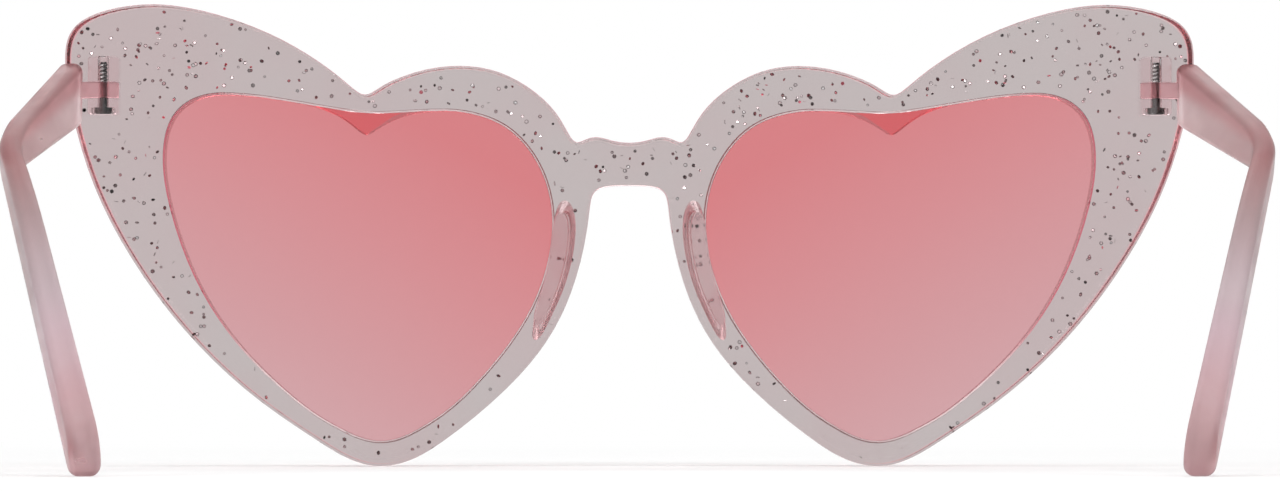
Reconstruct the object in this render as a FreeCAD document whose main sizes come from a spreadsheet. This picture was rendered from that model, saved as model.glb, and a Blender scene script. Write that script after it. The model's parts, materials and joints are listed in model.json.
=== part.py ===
import FreeCAD, Part
import os
import Sketcher
from FreeCAD import Placement, Rotation, Vector

# Heart shaped sunglasses. Millimetres and degrees.
# X runs to the wearer's right, Y the way the wearer looks, Z up. The glasses stand open on a table:
# both heart tips and both temple tips rest at Z = 0, and the box of the whole is centred on X and Y.
# Each piece is drawn with the foremost point of the front at Y = 0, and its placement centres it.

DIMENSIONS = (
    ("frame_width", 148.2, "front, across both flares"),
    ("frame_height", 61.0, "front, heart tip to flare"),
    ("overall_depth", 144.0, "foremost point of the front to the end of the temple tips"),
    ("nose_gap", 10.4, "between the rims at their narrowest"),
    ("face_radius", 280.0, "curve of the front face, about an upright axis"),
    ("frame_thickness", 4.5, "front, face to rear"),
    ("face_round", 0.9, "round on the outer edges of the front, at its face"),
    ("rear_round", 0.3, "round on the outer edges of the front, at its rear"),
    ("opening_bevel", 0.2, "bevel on the edges of the lens openings"),
    ("front_lip", 1.3, "rim in front of the lens groove"),
    ("lens_thickness", 1.8, "lens"),
    ("lens_seat", 0.35, "depth of the lens groove behind the edge of the opening"),
    ("lens_gap", 0.05, "lens to groove"),
    ("pad_rise", 4.6, "nose pad, behind the rear of the front"),
    ("pad_round", 0.4, "round on the crest of the nose pad"),
    ("hinge_inset", 5.0, "hinge axis, in from the side of the front"),
    ("hinge_standoff", 3.3, "hinge axis, behind the rear of the front"),
    ("hinge_height_share", 0.81, "middle of the hinge, as a share of the frame height"),
    ("knuckle_radius", 2.05, "hinge knuckles"),
    ("knuckle_above", 4.4, "front's upper knuckle, up from the middle of the hinge"),
    ("knuckle_below", 3.2, "front's lower knuckle, down from the middle of the hinge"),
    ("knuckle_round", 0.4, "round on the ends of the front's knuckles"),
    ("tongue_height", 2.0, "temple's knuckle"),
    ("tongue_gap", 0.1, "temple's knuckle to the front's knuckles, each side"),
    ("swing_gap", 0.2, "between what swings on the hinge and the front"),
    ("screw_radius", 0.55, "hinge screw shank"),
    ("screw_fit_gap", 0.02, "screw in the front's knuckles, all round"),
    ("pivot_gap", 0.06, "screw in the temple's knuckle, all round"),
    ("screw_end_depth", 0.7, "end of the screw, below the top of the upper knuckle"),
    ("head_radius", 1.15, "screw head"),
    ("head_height", 0.6, "screw head"),
    ("head_recess", 0.3, "screw head, up from the bottom of the lower knuckle"),
    ("head_gap", 0.1, "screw head in its recess, all round"),
    ("slot_width", 0.3, "screwdriver slot"),
    ("slot_depth", 0.25, "screwdriver slot"),
    ("root_above", 5.8, "temple root, up from the middle of the hinge"),
    ("root_below", 3.3, "temple root, down from the middle of the hinge"),
    ("root_thickness", 3.4, "temple at the hinge"),
    ("bend_thickness", 2.7, "temple at the ear bend"),
    ("tip_thickness", 3.9, "temple at its tip"),
    ("temple_round", 1.2, "round on the long edges of the temple"),
    ("temple_splay", 1.8, "outward lean of the temple, hinge to ear bend"),
    ("toe_in", 13.15, "inward lean of the temple, ear bend to tip"),
    ("bend_height", 35.9, "lower corner of the ear bend, above the table"),
    ("bend_rise", 4.7, "upper corner of the ear bend, above the lower"),
    ("bend_upper_round", 60.0, "upper corner of the ear bend"),
    ("bend_lower_round", 5.0, "lower corner of the ear bend"),
    ("bend_side_round", 25.0, "sides of the temple at the ear bend"),
    ("drop_angle", 40.5, "temple behind the ear bend, below level"),
    ("tip_radius", 3.9, "round end of the temple tip, half the height of the tip"),
    ("overrun", 5.0, "how far a cut runs past what it cuts"),
)

# Outlines of the wearer's right half. A point of the rim lies at a share of the heart's width out from
# the nose gap and at a share of the frame height; a point of the bridge at a share of half the nose gap.
BRIDGE_TOP_SHARES = ((0, 0.705), (0.33, 0.705), (0.72, 0.72))
INNER_LOBE_SHARES = (
    (0.006, 0.716), (0.0305, 0.697), (0.0495, 0.744), (0.078, 0.792), (0.142, 0.8475), (0.205, 0.872),
    (0.251, 0.872),
)
OUTER_LOBE_SHARES = (
    (0.251, 0.872), (0.296, 0.872), (0.366, 0.849), (0.4065, 0.8245), (0.434, 0.800), (0.4615, 0.826),
    (0.502, 0.8655), (0.585, 0.926), (0.694, 0.977), (0.790, 1), (0.8345, 1),
)
SIDE_SHARES = (
    (0.8345, 1), (0.882, 1), (0.987, 0.974), (1.010, 0.892), (0.990, 0.754), (0.951, 0.600),
    (0.881, 0.449), (0.785, 0.298), (0.659, 0.157), (0.525, 0.056), (0.448, 0), (0.4035, 0),
)
NOSE_SIDE_SHARES = (
    (0.4035, 0), (0.354, 0), (0.273, 0.059), (0.171, 0.154), (0.090, 0.2525), (0.039, 0.359),
    (0.010, 0.475), (0, 0.561),
)
BRIDGE_UNDER_SHARES = ((0.96, 0.6065), (0.5, 0.6115), (0, 0.6115))
LENS_NOSE_SHARES = (
    (0.28, 0.774), (0.25, 0.774), (0.185, 0.759), (0.13, 0.712), (0.0875, 0.639), (0.066, 0.536),
    (0.087, 0.399), (0.145, 0.275), (0.249, 0.1415), (0.318, 0.088), (0.373, 0.0555), (0.4035, 0.0555),
)
LENS_SIDE_SHARES = (
    (0.4035, 0.0555), (0.434, 0.0555), (0.490, 0.088), (0.545, 0.123), (0.669, 0.248), (0.758, 0.398),
    (0.807, 0.564), (0.821, 0.674), (0.802, 0.775), (0.742, 0.806), (0.70, 0.806),
)
REAR_TOP_SHARES = (
    (0.70, 0.806), (0.665, 0.806), (0.60, 0.797), (0.51, 0.779), (0.43, 0.765), (0.36, 0.770),
    (0.31, 0.774), (0.28, 0.774),
)
CLEFT_TOP_SHARES = (
    (0.70, 0.806), (0.665, 0.806), (0.57, 0.793), (0.497, 0.774), (0.453, 0.736), (0.4325, 0.715),
    (0.412, 0.736), (0.36, 0.767), (0.315, 0.774), (0.28, 0.774),
)
LENS_SHARES = (LENS_NOSE_SHARES, LENS_SIDE_SHARES, REAR_TOP_SHARES)
CLEFT_SHARES = (LENS_NOSE_SHARES, LENS_SIDE_SHARES, CLEFT_TOP_SHARES)
PAD_BASE_SHARES = (
    (0.0305, 0.5951), (0.016, 0.541), (0.0247, 0.459), (0.0435, 0.3836), (0.0726, 0.3148),
    (0.0987, 0.2557), (0.1161, 0.2492), (0.1132, 0.3049), (0.0885, 0.3836), (0.074, 0.459),
    (0.0711, 0.541), (0.0595, 0.5967),
)
PAD_CREST_SHARES = (
    (0.0435, 0.5508), (0.0406, 0.5016), (0.0479, 0.4426), (0.0624, 0.3836), (0.0827, 0.3344),
    (0.0943, 0.3049), (0.1118, 0.3098), (0.1045, 0.3508), (0.0885, 0.4), (0.0769, 0.459),
    (0.0726, 0.5082), (0.0668, 0.5541),
)

# Places worked out from the sheet, as expressions.
HEART_WIDTH = "(dims.frame_width - dims.nose_gap) / 2"
REAR_RADIUS = "(dims.face_radius - dims.frame_thickness)"
GROOVE_RADIUS = "(dims.face_radius - dims.front_lip)"
GROOVE_WIDTH = "(dims.lens_thickness + 2 * dims.lens_gap)"
HINGE_X = "(dims.frame_width / 2 - dims.hinge_inset)"
HINGE_REAR_Y = f"(sqrt({REAR_RADIUS}^2 - {HINGE_X}^2) - dims.face_radius)"
HINGE_Y = f"({HINGE_REAR_Y} - dims.hinge_standoff)"
HINGE_Z = "(dims.hinge_height_share * dims.frame_height)"
ROOT_INNER_X = f"({HINGE_X} + dims.knuckle_radius + dims.swing_gap)"
ROOT_OUTER_X = f"({ROOT_INNER_X} + dims.root_thickness)"
BEND_OUTER_X = f"({ROOT_OUTER_X} + dims.temple_splay)"
TIP_OUTER_X = f"({BEND_OUTER_X} - dims.toe_in)"
TIP_Y = "(dims.tip_radius - dims.overall_depth)"
DROP_COS = "cos(dims.drop_angle)"
DROP_SIN = "sin(dims.drop_angle)"
BEND_RUN = f"((dims.bend_height - dims.tip_radius * (1 - {DROP_COS})) / tan(dims.drop_angle))"
BEND_Y = f"({TIP_Y} + dims.tip_radius * {DROP_SIN} + {BEND_RUN})"
ROOT_ALONG = f"(({HINGE_Z} + dims.root_above - dims.bend_height) * {DROP_SIN} - {BEND_Y} * {DROP_COS})"
TIP_ALONG = f"(({TIP_Y} - {BEND_Y}) * {DROP_COS} - dims.bend_height * {DROP_SIN} - dims.tip_radius)"
REACH = "(dims.frame_width / 4)"

START, END, CENTRE = 1, 2, 3
ORIGIN = (-1, 1)
CLOSE = 1e-6
SHARP_ANGLE = 0.2
QUARTER_TURN = 90
FULL_TURN = 360
PLAIN_WEIGHT = 1
RIGHT, UP = Vector(1, 0, 0), Vector(0, 0, 1)


def fill_sheet(doc):
    sheet = doc.addObject("Spreadsheet::Sheet", "dims")
    for row, (alias, value, meaning) in enumerate(DIMENSIONS, start=1):
        sheet.set(f"A{row}", meaning)
        sheet.set(f"B{row}", str(value))
        sheet.setAlias(f"B{row}", alias)
    doc.recompute()
    return sheet


def bind(item, **expressions):
    """Tie properties of an object to the sheet; a double underscore stands for a dot."""
    for name, expression in expressions.items():
        item.setExpression(name.replace("__", "."), expression)
    return item


def pin(sketch, held):
    """Hold points of a sketch: each its geometry, its vertex and its place, where None leaves it free."""
    constraints, expressions = [], []
    for geometry, point, place in held:
        for kind, expression in zip(("DistanceX", "DistanceY"), place):
            if expression is None:
                continue
            value = float(sketch.evalExpression(expression))
            constraints.append(Sketcher.Constraint(kind, *ORIGIN, geometry, point, value))
            expressions.append(expression)
    first = sketch.ConstraintCount
    sketch.addConstraint(constraints)
    for index, expression in enumerate(expressions, start=first):
        sketch.setExpression(f"Constraints[{index}]", expression)


def vector(sketch, place):
    return Vector(*(float(sketch.evalExpression(expression)) for expression in place), 0)


def close_chain(sketch, chain):
    """Join each piece of sketch geometry to the next, and the last to the first."""
    chain = list(chain)
    sketch.addConstraint([
        Sketcher.Constraint("Coincident", chain[number - 1], END, item, START)
        for number, item in enumerate(chain)
    ])


def polygon(sketch, places):
    """Closed outline of straight lines through the places."""
    points = [vector(sketch, place) for place in places]
    lines = [
        sketch.addGeometry(Part.LineSegment(points[number - 1], point), False)
        for number, point in enumerate(points)
    ]
    close_chain(sketch, lines)
    pin(sketch, [(line, END, place) for line, place in zip(lines, places)])


def spline(sketch, places, closed):
    """Smooth cubic outline drawn towards the places."""
    points = [vector(sketch, place) for place in places]
    curve = Part.BSplineCurve()
    curve.buildFromPoles(points, closed, 3)
    outline = sketch.addGeometry(curve, False)
    handles = [sketch.addGeometry(Part.Circle(point, UP, PLAIN_WEIGHT), True) for point in points]
    kind = "InternalAlignment:Sketcher::BSplineControlPoint"
    ties = [
        Sketcher.Constraint(kind, handle, CENTRE, outline, number) for number, handle in enumerate(handles)
    ]
    ties += [Sketcher.Constraint("Weight", handle, PLAIN_WEIGHT) for handle in handles]
    sketch.addConstraint(ties)
    pin(sketch, [(handle, CENTRE, place) for handle, place in zip(handles, places)])
    return outline


def circle(sketch, place, radius):
    value = float(sketch.evalExpression(radius))
    geometry = sketch.addGeometry(Part.Circle(vector(sketch, place), UP, value), False)
    held = sketch.addConstraint(Sketcher.Constraint("Radius", geometry, value))
    sketch.setExpression(f"Constraints[{held}]", radius)
    pin(sketch, [(geometry, CENTRE, place)])


def rim_place(share, grow="0", lean=(0, 0)):
    """Point of the rim; grow moves it outward from the middle of its outline by its lean."""
    across, up = share
    x = f"dims.nose_gap / 2 + {across} * {HEART_WIDTH} + {lean[0]:.4f} * {grow}"
    z = f"{up} * dims.frame_height + {lean[1]:.4f} * {grow}"
    return x, z


def bridge_place(share):
    across, up = share
    return f"{across} * dims.nose_gap / 2", f"{up} * dims.frame_height"


def grown(outline, grow):
    """The places of a closed outline, moved outward by the size grow at its four sides."""
    shares = [share for piece in outline for share in piece]
    ranges = [(min(values), max(values)) for values in zip(*shares)]

    def lean(share):
        return [(2 * part - low - high) / (high - low) for part, (low, high) in zip(share, ranges)]

    return [[rim_place(share, grow, lean(share)) for share in piece] for piece in outline]


def upright_sketch(doc, name):
    """Sketch in the X-Z plane, looking at the rear of the glasses."""
    sketch = doc.addObject("Sketcher::SketchObject", name)
    sketch.Placement = Placement(Vector(), Rotation(RIGHT, QUARTER_TURN))
    return sketch


def through(doc, sketch, name):
    """Solid of an upright sketch, from well behind the front to just ahead of it."""
    solid = doc.addObject("Part::Extrusion", name)
    solid.Base = sketch
    solid.DirMode = "Normal"
    solid.Solid = True
    return bind(solid, LengthFwd=REACH, LengthRev="dims.overrun")


def outline_solid(doc, name, outline):
    """Solid of a closed outline of smooth pieces, each a list of places."""
    sketch = upright_sketch(doc, name + "_outline")
    for places in outline:
        spline(sketch, places, False)
    return through(doc, sketch, name)


def face_cylinder(doc, name, radius):
    """Everything behind a face that is curved like the front."""
    solid = doc.addObject("Part::Cylinder", name)
    height = "dims.frame_height + 2 * dims.overrun"
    return bind(
        solid, Radius=radius, Height=height,
        Placement__Base__y="-dims.face_radius", Placement__Base__z="-dims.overrun",
    )


def boolean(doc, kind, name, base, tool):
    result = doc.addObject(f"Part::{kind}", name)
    result.Base = base
    result.Tool = tool
    return result


def mirrored(doc, name, source):
    """The wearer's left piece from the right one."""
    result = doc.addObject("Part::Mirroring", name)
    result.Source = source
    result.Normal = RIGHT
    return result


def both_sides(doc, name, source):
    return boolean(doc, "Fuse", name, source, mirrored(doc, name + "_other", source))


def body_sketch(body, role, name, lean="0", **offsets):
    """Sketch on one of the body's own planes, shifted by expressions and leaning about its own X."""
    sketch = body.newObject("Sketcher::SketchObject", name)
    plane = next(item for item in body.Origin.OriginFeatures if item.Role == role)
    sketch.AttachmentSupport = [(plane, "")]
    sketch.MapMode = "FlatFace"
    sketch.AttachmentOffset = Placement(Vector(), Rotation(RIGHT, QUARTER_TURN))
    sketch.setExpression("AttachmentOffset.Rotation.Angle", lean)
    for name_of, expression in offsets.items():
        sketch.setExpression("AttachmentOffset." + name_of.replace("__", "."), expression)
    return sketch


def feature(body, kind, name, sketch, symmetric=False, **expressions):
    result = body.newObject(f"PartDesign::{kind}", name)
    result.Profile = sketch
    if symmetric:
        result.SideType = "Symmetric"
    bind(result, **expressions)
    body.Document.recompute()
    return result


def through_cut(body, name, sketch):
    cut = body.newObject("PartDesign::Pocket", name)
    cut.Profile = sketch
    cut.SideType = "Symmetric"
    cut.Type = "ThroughAll"
    body.Document.recompute()
    return cut


def dressed(body, kind, name, pick, **expressions):
    """Round or bevel the edges that pick finds on the body's shape."""
    base = body.Tip
    shape = base.Shape
    wanted = pick(shape)
    result = body.newObject(f"PartDesign::{kind}", name)
    result.Base = (base, [
        f"Edge{number}" for number, edge in enumerate(shape.Edges, start=1)
        if any(edge.isSame(other) for other in wanted)
    ])
    bind(result, **expressions)
    body.Tip = result
    body.Document.recompute()
    return result


def rounded(body, name, pick, radius):
    return dressed(body, "Fillet", name, pick, Radius=radius)


def bevelled(body, name, pick, width):
    return dressed(body, "Chamfer", name, pick, Size=width)


def parallel(edge, direction):
    if not isinstance(edge.Curve, Part.Line):
        return False
    return edge.Curve.Direction.cross(direction).Length < CLOSE


def curved_faces(shape, radii):
    """Faces of the shape that lie on upright cylinders of the radii."""
    cylinders = [face for face in shape.Faces if isinstance(face.Surface, Part.Cylinder)]
    return [
        face for face in cylinders
        if any(abs(face.Surface.Radius - radius) < CLOSE for radius in radii)
    ]


def outer_edges(faces):
    return [edge for face in faces for edge in face.OuterWire.Edges]


def inner_edges(faces):
    holes = [wire for face in faces for wire in face.Wires if not wire.isSame(face.OuterWire)]
    return [edge for wire in holes for edge in wire.Edges]


def make_front_blank(doc):
    """The front without its lens openings: half the outline, closed down the middle, and its mirror."""
    sketch = upright_sketch(doc, "front_outline")
    top, under = (
        [bridge_place(share) for share in shares] for shares in (BRIDGE_TOP_SHARES, BRIDGE_UNDER_SHARES)
    )
    inner_lobe, outer_lobe, side, nose_side = (
        [rim_place(share) for share in shares]
        for shares in (INNER_LOBE_SHARES, OUTER_LOBE_SHARES, SIDE_SHARES, NOSE_SIDE_SHARES)
    )
    first = spline(sketch, top + inner_lobe, False)
    spline(sketch, outer_lobe, False)
    spline(sketch, side, False)
    last = spline(sketch, nose_side + under, False)
    ends = [vector(sketch, place) for place in (under[-1], top[0])]
    middle = sketch.addGeometry(Part.LineSegment(*ends), False)
    sketch.addConstraint([
        Sketcher.Constraint("Coincident", last, END, middle, START),
        Sketcher.Constraint("Coincident", first, START, middle, END),
    ])
    bounded = boolean(
        doc, "Common", "half_bounded", through(doc, sketch, "half_through"),
        face_cylinder(doc, "front_face", "dims.face_radius"),
    )
    half = boolean(doc, "Cut", "half_front", bounded, face_cylinder(doc, "front_rear", REAR_RADIUS))
    whole = both_sides(doc, "front_blank", half)
    whole.Refine = True
    return whole


def lens_cuts(doc):
    """What the lens grooves and openings take out of the front, in the order that they are cut."""
    middle = face_cylinder(doc, "lens_middle", f"{GROOVE_RADIUS} - {GROOVE_WIDTH} / 2")
    rear_outline, cleft_outline = (
        [[rim_place(share) for share in piece] for piece in outline]
        for outline in (LENS_SHARES, CLEFT_SHARES)
    )
    groove = make_lens_layer(doc, "groove", "dims.lens_seat", GROOVE_RADIUS, GROOVE_WIDTH)
    rear = boolean(
        doc, "Common", "rear_opening", outline_solid(doc, "rear_opening_through", rear_outline), middle
    )
    front = boolean(
        doc, "Cut", "front_opening", outline_solid(doc, "front_opening_through", cleft_outline), middle
    )
    return [both_sides(doc, cut.Name + "_pair", cut) for cut in (groove, rear, front)]


def make_lens_layer(doc, name, grow, radius, thickness):
    """Curved layer of the lens outline, its front at the radius."""
    solid = outline_solid(doc, name + "_through", grown(LENS_SHARES, grow))
    bounded = boolean(doc, "Common", name + "_bounded", solid, face_cylinder(doc, name + "_face", radius))
    back = face_cylinder(doc, name + "_back", f"{radius} - {thickness}")
    return boolean(doc, "Cut", name, bounded, back)


def make_knuckles(doc):
    """The front's two knuckles on the wearer's right, on one block with the slot for the temple's."""
    body = doc.addObject("PartDesign::Body", "knuckles")
    middle = {"Base__z": HINGE_Z}
    block = body_sketch(body, "XY_Plane", "knuckle_plan", Base__z=f"{HINGE_Z} - dims.knuckle_below")
    left_x, right_x = (f"{HINGE_X} {sign} dims.knuckle_radius" for sign in "-+")
    root_y = f"{HINGE_REAR_Y} + dims.frame_thickness / 2"
    corners = [(left_x, root_y), (left_x, HINGE_Y), (right_x, HINGE_Y), (right_x, root_y)]
    points = [vector(block, corner) for corner in corners]
    tail = points[1] + (points[2] - points[1]) / 2
    tail.y -= (points[2] - points[1]).Length / 2
    block.addGeometry(Part.LineSegment(points[0], points[1]), False)
    block.addGeometry(Part.Arc(points[1], tail, points[2]), False)
    block.addGeometry(Part.LineSegment(points[2], points[3]), False)
    block.addGeometry(Part.LineSegment(points[3], points[0]), False)
    close_chain(block, range(4))
    ends = ((0, START), (0, END), (2, START), (2, END))
    pin(block, [(*end, corner) for end, corner in zip(ends, corners)] + [(1, CENTRE, (None, HINGE_Y))])
    feature(body, "Pad", "knuckle_block", block, Length="dims.knuckle_above + dims.knuckle_below")
    rear = float(block.evalExpression(HINGE_REAR_Y))
    rounded(
        body, "knuckle_ends",
        lambda shape: [
            edge for edge in shape.Edges
            if edge.BoundBox.ZLength < CLOSE and edge.BoundBox.YMin < rear - CLOSE
        ],
        "dims.knuckle_round",
    )
    slot = body_sketch(body, "XY_Plane", "tongue_slot_plan", **middle)
    wall_y = f"{HINGE_Y} + dims.knuckle_radius + dims.swing_gap"
    far_y = f"{HINGE_Y} - dims.knuckle_radius - dims.overrun"
    inner_x, outer_x = (f"{HINGE_X} {sign} dims.knuckle_radius {sign} dims.overrun" for sign in "-+")
    polygon(slot, [(inner_x, wall_y), (inner_x, far_y), (outer_x, far_y), (outer_x, wall_y)])
    feature(body, "Pocket", "tongue_slot", slot, True, Length="dims.tongue_height + 2 * dims.tongue_gap")
    bore = body_sketch(body, "XY_Plane", "screw_bore_plan", **middle)
    circle(bore, (HINGE_X, HINGE_Y), "dims.screw_radius + dims.screw_fit_gap")
    through_cut(body, "screw_bore", bore)
    recess = body_sketch(body, "XY_Plane", "head_recess_plan", Base__z=f"{HINGE_Z} - dims.knuckle_below")
    circle(recess, (HINGE_X, HINGE_Y), "dims.head_radius + dims.head_gap")
    cut = feature(body, "Pocket", "head_recess", recess, Length="dims.head_recess + dims.head_height")
    cut.Reversed = True
    doc.recompute()
    return body


def make_front(doc):
    pierced = make_front_blank(doc)
    for cut in lens_cuts(doc):
        pierced = boolean(doc, "Cut", "front_less_" + cut.Name, pierced, cut)
    doc.recompute()
    body = doc.addObject("PartDesign::Body", "front_rounded")
    body.BaseFeature = pierced
    doc.recompute()
    face, rear = (float(body.evalExpression(radius)) for radius in ("dims.face_radius", REAR_RADIUS))
    rounded(
        body, "face_edges",
        lambda shape: outer_edges(curved_faces(shape, [face])), "dims.face_round",
    )
    rounded(
        body, "rear_edges",
        lambda shape: outer_edges(curved_faces(shape, [rear])), "dims.rear_round",
    )
    bevelled(
        body, "opening_edges",
        lambda shape: inner_edges(curved_faces(shape, [face, rear])), "dims.opening_bevel",
    )
    knuckles = both_sides(doc, "knuckle_pair", make_knuckles(doc))
    kept = boolean(doc, "Common", "knuckles_behind", knuckles, face_cylinder(doc, "rear_face", REAR_RADIUS))
    return boolean(doc, "Fuse", "frame_front", body, kept)


def make_lens(doc):
    return make_lens_layer(
        doc, "lens_right", "(dims.lens_seat - dims.lens_gap)",
        f"({GROOVE_RADIUS} - dims.lens_gap)", "dims.lens_thickness",
    )


def make_nose_pad(doc):
    """Leaf shaped pad, wide where it is bonded to the rim and narrow at its crest."""
    body = doc.addObject("PartDesign::Body", "pad_leaf")
    base = body_sketch(body, "XZ_Plane", "pad_base", Base__z="dims.frame_thickness / 2")
    spline(base, [rim_place(share) for share in PAD_BASE_SHARES], True)
    crest = body_sketch(body, "XZ_Plane", "pad_crest", Base__z="dims.frame_thickness + dims.pad_rise")
    spline(crest, [rim_place(share) for share in PAD_CREST_SHARES], True)
    loft = body.newObject("PartDesign::AdditiveLoft", "pad_loft")
    loft.Profile = base
    loft.Sections = [crest]
    doc.recompute()
    rear = loft.Shape.BoundBox.YMin
    rounded(
        body, "pad_crest_round",
        lambda shape: [edge for edge in shape.Edges if edge.BoundBox.YMax < rear + CLOSE], "dims.pad_round",
    )
    return boolean(doc, "Common", "nose_pad_right", body, face_cylinder(doc, "pad_seat", REAR_RADIUS))


def temple_side(body):
    """Side view: tapered arm, ear bend and drop with a round end that rests on the table."""
    sketch = body_sketch(body, "YZ_Plane", "temple_side", Base__z=f"{TIP_OUTER_X} - dims.overrun")
    top, bottom = f"{HINGE_Z} + dims.root_above", f"{HINGE_Z} - dims.root_below"
    upper_z = "dims.bend_height + dims.bend_rise"
    tip = (TIP_Y, "dims.tip_radius")
    across = f"dims.tip_radius * {DROP_SIN}", f"dims.tip_radius * {DROP_COS}"
    tip_upper = (f"{TIP_Y} - {across[0]}", f"dims.tip_radius + {across[1]}")
    tip_lower = (f"{TIP_Y} + {across[0]}", f"dims.tip_radius - {across[1]}")
    upper_y = f"{tip_upper[0]} + ({upper_z} - ({tip_upper[1]})) / tan(dims.drop_angle)"
    corner = (BEND_Y, "dims.bend_height")
    places = [("0", bottom), ("0", top), (upper_y, upper_z), tip_upper, tip_lower, corner]
    points = [vector(sketch, place) for place in places]
    end = vector(sketch, tip)
    lowest = end + (points[3] - points[2]).normalize() * (points[3] - end).Length
    for first, second in ((0, 1), (1, 2), (2, 3)):
        sketch.addGeometry(Part.LineSegment(points[first], points[second]), False)
    sketch.addGeometry(Part.Arc(points[3], lowest, points[4]), False)
    for first, second in ((4, 5), (5, 0)):
        sketch.addGeometry(Part.LineSegment(points[first], points[second]), False)
    close_chain(sketch, range(len(places)))
    starts = [(number, START, places[number]) for number in (0, 1, 2, 4, 5)]
    pin(sketch, starts + [(2, END, tip_upper), (3, CENTRE, (TIP_Y, None))])
    return sketch


def temple_band(body):
    """What lies outside the two sides of the temple, seen square to the drop."""
    sketch = body_sketch(
        body, "XY_Plane", "temple_band", "dims.drop_angle", Base__y=BEND_Y, Base__z="dims.bend_height",
    )
    root, tip = f"{ROOT_ALONG} + dims.overrun", f"{TIP_ALONG} - dims.overrun"
    polygon(sketch, [
        (ROOT_OUTER_X, root), (BEND_OUTER_X, "0"), (TIP_OUTER_X, tip),
        (f"{TIP_OUTER_X} - dims.tip_thickness", tip), (f"{BEND_OUTER_X} - dims.bend_thickness", "0"),
        (ROOT_INNER_X, root),
    ])
    inside, outside = f"{TIP_OUTER_X} - {REACH}", f"{BEND_OUTER_X} + {REACH}"
    near, far = f"{root} + dims.overrun", f"{tip} - dims.overrun"
    polygon(sketch, [(inside, near), (outside, near), (outside, far), (inside, far)])
    return sketch


def butt_plan(body):
    """What lies ahead of the temple's butt end, which follows the rear of the front."""
    sketch = body_sketch(body, "XY_Plane", "butt_plan")
    radius = f"({REAR_RADIUS} - dims.swing_gap)"
    sides = [f"{HINGE_X} {sign} {REACH}" for sign in "-+"]
    backs = [(side, f"sqrt({radius}^2 - ({side})^2) - dims.face_radius") for side in sides]
    fronts = [(side, "dims.overrun") for side in sides]
    corners = [fronts[1], backs[1], backs[0], fronts[0]]
    points = [vector(sketch, corner) for corner in corners]
    middle = vector(sketch, (HINGE_X, f"sqrt({radius}^2 - {HINGE_X}^2) - dims.face_radius"))
    sketch.addGeometry(Part.LineSegment(points[0], points[1]), False)
    sketch.addGeometry(Part.Arc(points[1], middle, points[2]), False)
    sketch.addGeometry(Part.LineSegment(points[2], points[3]), False)
    sketch.addGeometry(Part.LineSegment(points[3], points[0]), False)
    close_chain(sketch, range(4))
    ends = ((0, START), (0, END), (2, START), (2, END))
    pin(sketch, [(*end, corner) for end, corner in zip(ends, corners)] + [(1, CENTRE, ("0", None))])
    return sketch


def tongue_plan(body):
    """The temple's knuckle from above: round at the hinge axis, and let into the temple."""
    sketch = body_sketch(body, "XY_Plane", "tongue_plan", Base__z=HINGE_Z)
    root_x = f"{ROOT_INNER_X} + dims.root_thickness / 2"
    back_y, front_y = (f"{HINGE_Y} {sign} dims.knuckle_radius" for sign in "-+")
    corners = [(root_x, front_y), (HINGE_X, front_y), (HINGE_X, back_y), (root_x, back_y)]
    points = [vector(sketch, corner) for corner in corners]
    nose = vector(sketch, (f"{HINGE_X} - dims.knuckle_radius", HINGE_Y))
    sketch.addGeometry(Part.LineSegment(points[0], points[1]), False)
    sketch.addGeometry(Part.Arc(points[1], nose, points[2]), False)
    sketch.addGeometry(Part.LineSegment(points[2], points[3]), False)
    sketch.addGeometry(Part.LineSegment(points[3], points[0]), False)
    close_chain(sketch, range(4))
    ends = ((0, START), (0, END), (2, START), (2, END))
    pin(sketch, [(*end, corner) for end, corner in zip(ends, corners)] + [(1, CENTRE, (HINGE_X, None))])
    return sketch


def make_temple(doc):
    body = doc.addObject("PartDesign::Body", "temple_right")
    side = temple_side(body)
    width = "dims.toe_in + dims.root_thickness + 3 * dims.overrun"
    feature(body, "Pad", "temple_blank", side, Length=width)
    for name, rise in (("lower", "0"), ("upper", "dims.bend_rise")):
        level = float(side.evalExpression(f"dims.bend_height + {rise}"))
        rounded(
            body, f"bend_{name}",
            lambda shape: [
                edge for edge in shape.Edges
                if parallel(edge, RIGHT) and abs(edge.BoundBox.ZMin - level) < CLOSE
            ],
            f"dims.bend_{name}_round",
        )
    through_cut(body, "temple_sides", temple_band(body))
    angle = float(side.evalExpression("dims.drop_angle"))
    crease = Rotation(RIGHT, angle).multVec(UP)
    rounded(
        body, "bend_sides",
        lambda shape: [edge for edge in shape.Edges if parallel(edge, crease)], "dims.bend_side_round",
    )
    butt = butt_plan(body)
    through_cut(body, "temple_butt", butt)
    rounded(body, "temple_edges", temple_edges, "dims.temple_round")
    feature(body, "Pad", "tongue", tongue_plan(body), True, Length="dims.tongue_height")
    through_cut(body, "tongue_butt", butt)
    pivot = body_sketch(body, "XY_Plane", "pivot_plan", Base__z=HINGE_Z)
    circle(pivot, (HINGE_X, HINGE_Y), "dims.screw_radius + dims.pivot_gap")
    through_cut(body, "pivot_bore", pivot)
    return body


def temple_edges(shape):
    """All edges of the bare temple that are sharp."""
    return [edge for edge in shape.Edges if is_sharp(shape, edge)]


def is_sharp(shape, edge):
    faces = shape.ancestorsOfType(edge, Part.Face)
    point = edge.valueAt((edge.FirstParameter + edge.LastParameter) / 2)
    normals = [face.normalAt(*face.Surface.parameter(point)) for face in faces]
    return len(normals) == 2 and normals[0].getAngle(normals[1]) > SHARP_ANGLE


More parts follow.
